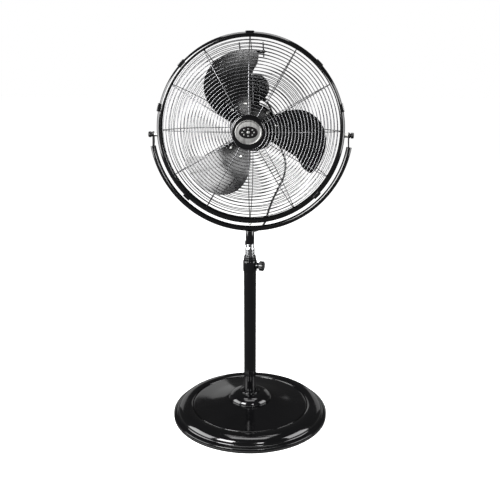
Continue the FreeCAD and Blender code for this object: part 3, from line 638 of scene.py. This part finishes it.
mast = {"corners": [(0.0116, 0.140), (0.014, 0.140), (0.014, 0.549), (0.0122, 0.5535), (0.0115, 0.555),
                    (0.0115, 0.563), (0.009, 0.563), (0.009, 0.597), (0.0066, 0.597), (0.0066, 0.546),
                    (0.0116, 0.540)], "bevel": 0.0008, "steps": 96}
turnedPiece("innerPole", "inner_pole", mast, "mast", "chrome_tube")

grip = {"corners": [(0.0, 0.0275), (0.0085, 0.0275), (0.0092, 0.0300), (0.0142, 0.0305), (0.015, 0.0320),
                    (0.015, 0.0425), (0.0138, 0.0442), (0.009, 0.0444), (0.008, 0.0436), (0.0, 0.0436)],
        "bevel": 0.0012, "arc": 6, "steps": 160, "closed": False, "sharp": 45,
        "lobes": 8, "lobeDepth": 0.17, "lobesFrom": 0.0302, "lobesTo": 0.0443}
turnedPiece("heightKnob", "height_knob_grip", grip, "clamp_screw", "black_plastic", clampCentre, clampWay,
            scallops(grip["lobes"], grip["lobeDepth"], grip["lobesFrom"], grip["lobesTo"]))

sleeve = {"corners": [(0.00905, 0.5633), (0.013, 0.5633), (0.013, 0.6045), (0.00905, 0.6030)],
          "bevel": 0.0006, "steps": 96}
turnedPiece("yokeSleeve", "yoke_sleeve", sleeve, "yoke", "black_paint")

strap = {"half": 0.009, "low": [(-0.009, 0.868), (-0.0075, 0.845), (0.0075, 0.845), (0.009, 0.868)],
         "layers": ((0.2816, 0.0004), (0.2819, 0.0), (0.2843, 0.0), (0.2846, 0.0004)),
         "bend": 0.0018, "bendFrom": 0.872, "bendOver": 0.02}


def strapPiece(side):
    # flat plate with a round top, its outline carried across its thickness; it bends out to the tube below
    t = np.linspace(0, math.pi, 25)
    top = np.stack([strap["half"] * np.cos(t), head["pivotZ"] + strap["half"] * np.sin(t)], -1)
    outline = np.concatenate([top, strap["low"]])
    loops = []
    for x, inset in strap["layers"]:
        ring = outline * [1 - inset / strap["half"], 1]
        shift = strap["bend"] * smoothStep((strap["bendFrom"] - ring[:, 1]) / strap["bendOver"])
        loops.append(np.stack([side * (x + shift), ring[:, 0], ring[:, 1]], -1))
    return loft("yokeStrap" + ("Right" if side > 0 else "Left"), loops, "yoke", "black_paint", 50)


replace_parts(strapPiece(1), "yoke_straps")
strapPiece(-1)

tilt = {"corners": [(0.0, 0.2850), (0.0062, 0.2850), (0.0078, 0.2852), (0.0076, 0.2866), (0.0050, 0.2882),
                    (0.0052, 0.2890), (0.0080, 0.2894), (0.0085, 0.2904), (0.0083, 0.2962), (0.0070, 0.2976),
                    (0.0, 0.2980)],
        "bevel": 0.0007, "steps": 96, "closed": False, "sharp": 45,
        "lobes": 6, "lobeDepth": 0.14, "lobesFrom": 0.2892, "lobesTo": 0.2979}
for side, name, word in ((1, "tiltKnobRight", "right"), (-1, "tiltKnobLeft", "left")):
    turnedPiece(name, "tilt_knob_" + word, tilt, word + "_knob", "black_plastic", (0, 0, head["pivotZ"]),
                (side, 0, 0), scallops(tilt["lobes"], tilt["lobeDepth"], tilt["lobesFrom"], tilt["lobesTo"]))
print("stem and yoke done")


clip = {"angles": (90, 44, 14, -43, -134, 166, 136), "half": 2.4, "inner": 0.264, "bevel": 0.0009,
        "outer": 0.2742, "seat": 0.2721, "middle": 0.2725, "tuck": 0.93,
        "shares": (-1, -0.97, -0.6, 0, 0.6, 0.97, 1), "fit": 0.0001, "thick": 0.0022, "outerThick": 0.0023}


def clipLoops(angle):
    # C section over both lips of the rim, carried along a short arc with tucked-in ends
    lip, wall, edge = (rim["half"] + clip[key] for key in ("fit", "thick", "outerThick"))
    seat, inner, outer = clip["seat"], clip["inner"], clip["outer"]
    corners = [(seat, -lip), (inner, -lip), (inner, -wall), (outer, -edge),
               (outer, edge), (inner, wall), (inner, lip), (seat, lip)]
    profile = roundCorners(corners, clip["bevel"], 4)
    middle = np.array([clip["middle"], 0])
    loops = []
    for share in clip["shares"]:
        ring = middle + (profile - middle) * [1, clip["tuck"] if abs(share) == 1 else 1.0]
        loops.append(polar(ring[:, 0], angle + clip["half"] * share, ring[:, 1]))
    return loops


for k, angle in enumerate(clip["angles"]):
    piece = loft("rimClip" + str(k + 1), clipLoops(angle), "head", "black_paint", 40)
    if k == 0:
        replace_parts(piece, "guard_clips")


# the badge's profiles are (share of the half axes, distance in front of the back)
badge = {"back": -0.0562, "steps": 128,
         "plate": {"halfWidth": 0.0385, "halfHeight": 0.0345, "bevel": 0.004, "arc": 5,
                   "corners": [(0.0, 0.0), (1.0, 0.0), (1.0, 0.0012), (0.985, 0.0030), (0.94, 0.0040),
                               (0.90, 0.0036), (0.86, 0.0026), (0.72, 0.0030), (0.0, 0.0038)]},
         "emblem": {"halfWidth": 0.027, "halfHeight": 0.017, "bevel": 0.0015, "arc": 4,
                    "corners": [(0.0, 0.0030), (1.0, 0.0030), (1.0, 0.0044), (0.97, 0.0050), (0.0, 0.0052)]}}


def ovalPiece(name, node, shape, slot):
    # rounded profile turned about the fan's axis as an ellipse
    corners = np.array(shape["corners"]) * [1, -1] + [0, badge["back"]]
    profile = roundCorners(corners, shape["bevel"], shape["arc"], False)
    angle = turnAngles(badge["steps"])
    x = profile[:, 0][:, None] * shape["halfWidth"] * np.cos(angle)
    z = head["z"] + profile[:, 0][:, None] * shape["halfHeight"] * np.sin(angle)
    points = np.stack([x, np.broadcast_to(profile[:, 1][:, None], x.shape), z], -1)
    faces = gridFaces(len(profile), badge["steps"], False, True)
    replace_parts(makePiece(name, points, faces, "head", slot, 50), node)


ovalPiece("badgePlate", "badge_plate", badge["plate"], "silver_badge")
ovalPiece("badgeEmblem", "badge_emblem", badge["emblem"], "badge_black")

stud = {"count": 8, "large": 0.0044, "small": 0.0022, "rise": 0.0008, "root": -0.0012, "front": 0.0051,
        "halfWidth": 0.0165, "halfHeight": 0.0098}


def studPiece(number):
    # low quarter-ellipse dome; one in the middle and eight on an oval round it
    t = quarterAngles(7)
    size = stud["small"] if number else stud["large"]
    dome = np.stack([size * np.cos(t), stud["rise"] * np.sin(t)], -1)
    profile = np.concatenate([[(0.0, stud["root"]), (size, stud["root"])], dome])
    angle = 2 * math.pi * number / stud["count"]
    out = 1 if number else 0
    place = (out * stud["halfWidth"] * math.cos(angle), badge["back"] - stud["front"],
             head["z"] + out * stud["halfHeight"] * math.sin(angle))
    lathe("badgeStud" + str(number), profile, "head", "silver_badge", place, (0, -1, 0), 24, False, 60)


for number in range(stud["count"] + 1):
    studPiece(number)

plate = {"corners": [(0.0, 0.0), (0.040, 0.0), (0.0455, 0.0004), (0.048, 0.0018), (0.0478, 0.0026),
                     (0.044, 0.0020), (0.0, 0.0018)], "bevel": 0.0012, "steps": 128, "closed": False}
turnedPiece("centrePlate", "front_centre_plate", plate, "head", "black_paint",
            (0, badge["back"], head["z"]), backwards)
print("badge done")


motor = {"front": 0.042, "rear": 0.118, "steps": 480,
         "face": [(0.0101, 0.0), (0.0150, 0.0), (0.0165, 0.0016), (0.030, 0.0022), (0.034, 0.0006),
                  (0.052, 0.0006), (0.062, 0.0030), (0.064, 0.0070)],
         "wall": [(0.064, 0.0072), (0.064, 0.0076), (0.064, 0.030), (0.064, 0.0304), (0.064, 0.0348),
                  (0.0634, 0.0352), (0.064, 0.0356), (0.064, 0.0378)],
         "inside": [(0.0615, 0.0378), (0.0615, 0.008), (0.050, 0.0045), (0.016, 0.0045), (0.0155, 0.0118),
                    (0.0101, 0.0118)],
         "fins": 60, "finDepth": 0.016, "finsBeyond": 0.0625, "frontFins": (0.0490, 0.0724),
         "rearFins": (0.0876, 0.1110), "lugs": (45, 135, 225, 315), "lugCentre": 0.0675,
         "lugRadius": 0.005, "lugWaist": 0.18}


def finned(low, high):
    # cooling fins round the case between two places along its axis: grooves of a squared cosine
    def wave(angle, profile):
        inside = (profile[:, 1] > low) & (profile[:, 1] < high) & (profile[:, 0] > motor["finsBeyond"])
        groove = motor["finDepth"] * np.clip(np.cos(motor["fins"] * angle), 0, 1) ** 2
        return np.where(inside[:, None], 1 - groove[None, :], 1.0)
    return wave


def motorBells():
    # stepped face, rounded shoulder and finned wall; the rear bell is the front one turned round
    shell = np.array(motor["face"] + motor["wall"] + motor["inside"])
    for name, node, way, start, fins in (("motorFrontBell", "motor_front_bell", 1, "front", "frontFins"),
                                         ("motorRearBell", "motor_rear_bell", -1, "rear", "rearFins")):
        profile = shell * [1, way] + [0, motor[start]]
        piece = lathe(name, profile, "head", "motor_paint", headCentre, backwards, motor["steps"], True, 40,
                      finned(*motor[fins]))
        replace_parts(piece, node)


def motorLugs():
    # bolt columns along the case, with a waist that follows the root of a sine
    u = np.linspace(0, 1, 24)
    y = motor["front"] + (motor["rear"] - motor["front"]) * u
    waist = motor["lugRadius"] * (1 - motor["lugWaist"] * np.sin(math.pi * u) ** 0.5)
    profile = np.c_[np.concatenate([[0], waist, [0]]), np.concatenate([y[:1], y, y[-1:]])]
    for k, degrees in enumerate(motor["lugs"]):
        lathe("motorLug" + str(k + 1), profile, "head", "motor_paint", polar(motor["lugCentre"], degrees),
              backwards, 32, False, 40)


motorBells()
motorLugs()

# disc with a rolled edge and two pressed rings, behind the motor
mount = {"corners": [(0.0120, 0.1181), (0.0700, 0.1181), (0.0720, 0.1190), (0.0720, 0.1202), (0.0680, 0.1205),
                     (0.0600, 0.1205), (0.0585, 0.1199), (0.0540, 0.1199), (0.0525, 0.1205), (0.0400, 0.1205),
                     (0.0385, 0.1199), (0.0200, 0.1199), (0.0185, 0.1205), (0.0120, 0.1205)],
         "bevel": 0.0007, "arc": 4, "steps": 160, "sharp": 40}
turnedPiece("mountPlate", "guard_mount_plate", mount, "head", "black_paint", headCentre, backwards)

strip = {"x": 0.006, "line": [(0.1193, 0.932), (0.1193, 0.950), (0.1230, 0.960), (0.1230, 1.0420)],
         "bend": 0.004, "halfWidth": 0.014, "halfThick": 0.001, "sides": 48}


def mountStrap():
    # flat strip with rounded edges carried up from the plate, over a joggle and in front of the box
    line = roundCorners(strip["line"], strip["bend"], 8, False)
    step = unit(np.gradient(line, axis=0))
    x, thick = squared(turnAngles(strip["sides"]), 0.2, 0.4)
    y = line[:, 0][:, None] + strip["halfThick"] * thick * step[:, 1][:, None]
    z = line[:, 1][:, None] - strip["halfThick"] * thick * step[:, 0][:, None]
    loops = np.stack([np.broadcast_to(strip["x"] + strip["halfWidth"] * x, y.shape), y, z], -1)
    loft("mountStrap", loops, "head", "black_paint", 40)


mountStrap()

control = {"x": 0.006, "z": 1.017}
controlAxis = (control["x"], 0, control["z"])
box = {"corners": [(0.0, 0.124), (0.038, 0.124), (0.041, 0.127), (0.041, 0.1545), (0.0402, 0.1549),
                   (0.0, 0.1549)], "bevel": 0.0018, "arc": 6, "steps": 128, "closed": False}
turnedPiece("controlBox", "control_box", box, "head", "black_plastic", controlAxis, backwards)
lid = {"corners": [(0.0, 0.1551), (0.0402, 0.1551), (0.041, 0.1555), (0.041, 0.1570), (0.0385, 0.158),
                   (0.030, 0.158), (0.0285, 0.1573), (0.018, 0.1573), (0.0165, 0.158), (0.0, 0.158)],
       "bevel": 0.0008, "steps": 128, "closed": False}
turnedPiece("controlLid", "control_box_lid", lid, "head", "black_plastic", controlAxis, backwards)
dial = {"corners": [(0.0, 0.1583), (0.015, 0.1583), (0.015, 0.1608), (0.0118, 0.1616), (0.0112, 0.1745),
                    (0.0098, 0.1752), (0.0, 0.1752)],
        "bevel": 0.0008, "steps": 120, "closed": False, "sharp": 45,
        "lobes": 20, "lobeDepth": 0.05, "lobesFrom": 0.1615, "lobesTo": 0.1750,
        "barHalfWidth": 0.0024, "barHalfLength": 0.0125,
        "barLayers": ((0.161, 1.0), (0.1750, 0.98), (0.1760, 0.85))}
turnedPiece("speedKnob", "speed_knob", dial, "switch_knob", "black_plastic", controlAxis, backwards,
            scallops(dial["lobes"], dial["lobeDepth"], dial["lobesFrom"], dial["lobesTo"]))


def dialPointer():
    # raised bar across the dial, its rounded outline carried outwards
    x, z = squared(turnAngles(40), 0.5, 0.35)
    x, z = dial["barHalfWidth"] * x, dial["barHalfLength"] * z
    loops = [np.stack([control["x"] + x * share, np.full_like(x, y), control["z"] + z * share], -1)
             for y, share in dial["barLayers"]]
    loft("dialPointer", loops, "switch_knob", "black_plastic", 45)


def reliefPiece():
    # tapered boot round the lead, with ribs that grow towards its end
    along = np.linspace(0, 1, 46)
    ribs = relief["rib"] * (np.sin(along * 2 * math.pi * relief["ribs"]) > 0)
    start = np.array(relief["place"]) + reliefWay * relief["start"]
    path = start + reliefWay * relief["length"] * along[:, None]
    radius = relief["radius"] - relief["taper"] * along - ribs * along
    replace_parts(tube("strainRelief", path, radius, "head", "black_rubber", 24, 30), "strain_relief")


dialPointer()
reliefPiece()

handle = {"up": 0.222, "half": 0.034, "out": 0.036, "bend": 0.014, "rod": 0.005, "footRod": 0.0020,
          "footFrom": 0.205, "footTo": 0.243, "footRows": 16, "footOutside": 0.0030}


def handlePiece():
    # rod with rounded bends: two legs out of the rear guard and a bar between them
    half = handle["half"]
    y = guardSection(handle["up"], guard["rearDepth"])[1] + guard["wire"]
    corners = np.array([(-half, y), (-half, y + handle["out"]), (half, y + handle["out"]), (half, y)])
    line = roundCorners(corners, handle["bend"], 12, False)
    share = np.linspace(0, 1, 6)[:, None]
    first = corners[0] + (line[1] - corners[0]) * share[:-1]
    last = line[-2] + (corners[-1] - line[-2]) * share[1:]
    flat = np.concatenate([first, line[1:-1], last])
    path = np.c_[flat, np.full(len(flat), head["z"] + handle["up"])]
    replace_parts(tube("carryHandle", path, handle["rod"], "head", "black_paint", 24), "carry_handle")


def handleFeet():
    # short rods that follow the rear guard's section under each leg of the handle
    radius = np.linspace(handle["footFrom"], handle["footTo"], handle["footRows"])
    across, height = guardSection(radius, guard["rearDepth"], -handle["footOutside"])
    for name, x in (("handleFootLeft", -handle["half"]), ("handleFootRight", handle["half"])):
        path = np.stack([np.full(len(radius), x), height, head["z"] + across], -1)
        tube(name, path, handle["footRod"], "head", "black_paint", 12)


handlePiece()
handleFeet()

rivet = {"radius": 0.077, "angles": (11.0, 40.0), "head": 0.0046, "base": 0.0004, "rise": 0.0019,
         "shank": 0.0024, "root": -0.004, "probe": 0.001}


def helicoid(radius, degrees, base):
    # point of the blade's front surface
    return polar(radius, base + degrees, blade["leadY"] - blade["pitch"] * math.radians(degrees))


def rivetPieces():
    # domed heads square to the blade, two on each
    t = quarterAngles(8)
    dome = np.stack([rivet["head"] * np.cos(t), rivet["base"] + rivet["rise"] * np.sin(t)], -1)
    shank = [(0.0, rivet["root"]), (rivet["shank"], rivet["root"]), (rivet["shank"], 0.0),
             (rivet["head"], 0.0)]
    profile = np.concatenate([shank, dome])
    for number in range(blade["count"]):
        base = blade["top"] - 360 / blade["count"] * number
        for place, degrees in enumerate(rivet["angles"]):
            point = helicoid(rivet["radius"], degrees, base)
            along = helicoid(rivet["radius"] + rivet["probe"], degrees, base) - point
            around = helicoid(rivet["radius"], degrees + 1, base) - point
            normal = unit(np.cross(along, around))
            normal *= -np.sign(normal[1])
            count = number * len(rivet["angles"]) + place + 1
            piece = lathe("rivet" + str(count), profile, "rotor", "zinc_steel", point, normal, 24, False, 50)
            if count == 1:
                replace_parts(piece, "blade_rivets")


rivetPieces()
print("small pieces done")


studio = {"floor": 30, "floorSeen": 0.965, "floorForLight": 0.16, "worldForLight": 0.07}
# each light: place, the point it faces, width, height (none for a square) and watts
lights = {
    "leftBox": ((-1.5, -2.3, 1.7), (0, 0, 0.7), 1.2, 1.5, 160),
    "rightBox": ((0.9, -2.6, 1.15), (0, 0, 0.2), 0.4, 0.5, 20),
    "leftWall": ((-2.4, -0.7, 1.1), (0, 0, 0.9), 2.0, 2.0, 120),
    "rightWall": ((2.4, -0.5, 1.1), (0, 0, 0.9), 1.6, 2.0, 80),
    "topBox": ((0.0, 0.2, 2.9), (0, 0, 0.3), 1.6, None, 45),
    "backPanelLeft": ((-1.3, 2.6, 0.6), (0, 0, 0.1), 1.7, 1.3, 5),
    "backPanelRight": ((1.2, 2.6, 0.6), (0, 0, 0.1), 1.4, 1.3, 3.5),
}


def areaLight(name, place, target, width, height, watts):
    # soft box turned to its target, and not seen by the camera itself
    data = bpy.data.lights.new(name, "AREA")
    data.energy = watts
    data.size = width
    if height:
        data.shape = "RECTANGLE"
        data.size_y = height
    light = linkObject(name, data)
    light.location = place
    light.rotation_euler = (Vector(target) - Vector(place)).to_track_quat("-Z", "Y").to_euler()
    light.visible_camera = False


def dimmedForLight(tree, seen, dimKind, strengthSocket, strength, output):
    # shader that the camera sees as it is, and that all other rays meet as a dim white
    dim = tree.nodes.new(dimKind)
    dim.inputs["Color"].default_value = (1, 1, 1, 1)
    dim.inputs[strengthSocket].default_value = strength
    rays = tree.nodes.new("ShaderNodeLightPath")
    mix = tree.nodes.new("ShaderNodeMixShader")
    tree.links.new(rays.outputs["Is Camera Ray"], mix.inputs[0])
    tree.links.new(dim.outputs[0], mix.inputs[1])
    tree.links.new(seen, mix.inputs[2])
    tree.links.new(mix.outputs[0], tree.nodes[output].inputs["Surface"])


def buildStudio():
    # white floor and world, and soft light from all sides
    s = studio["floor"]
    floorMesh = bpy.data.meshes.new("floor")
    floorMesh.from_pydata([(-s, -s, 0), (s, -s, 0), (s, s, 0), (-s, s, 0)], [], [(0, 1, 2, 3)])
    white = newMaterial("paleFloor", (0.6, 0.6, 0.6), 0.9, Emission_Color=(1, 1, 1, 1),
                        Emission_Strength=studio["floorSeen"], Specular_IOR_Level=0.0)
    floorMesh.materials.append(white)
    dimmedForLight(white.node_tree, white.node_tree.nodes["Principled BSDF"].outputs[0],
                   "ShaderNodeEmission", "Strength", studio["floorForLight"], "Material Output")
    linkObject("floor", floorMesh)
    world = bpy.data.worlds.new("studio")
    world.use_nodes = True
    backdrop = world.node_tree.nodes["Background"]
    backdrop.inputs["Color"].default_value = (1, 1, 1, 1)
    dimmedForLight(world.node_tree, backdrop.outputs[0], "ShaderNodeBackground", "Strength",
                   studio["worldForLight"], "World Output")
    bpy.context.scene.world = world
    for name, values in lights.items():
        areaLight(name, *values)


buildStudio()
bpy.context.scene.view_settings.view_transform = "Standard"
print("studio done")
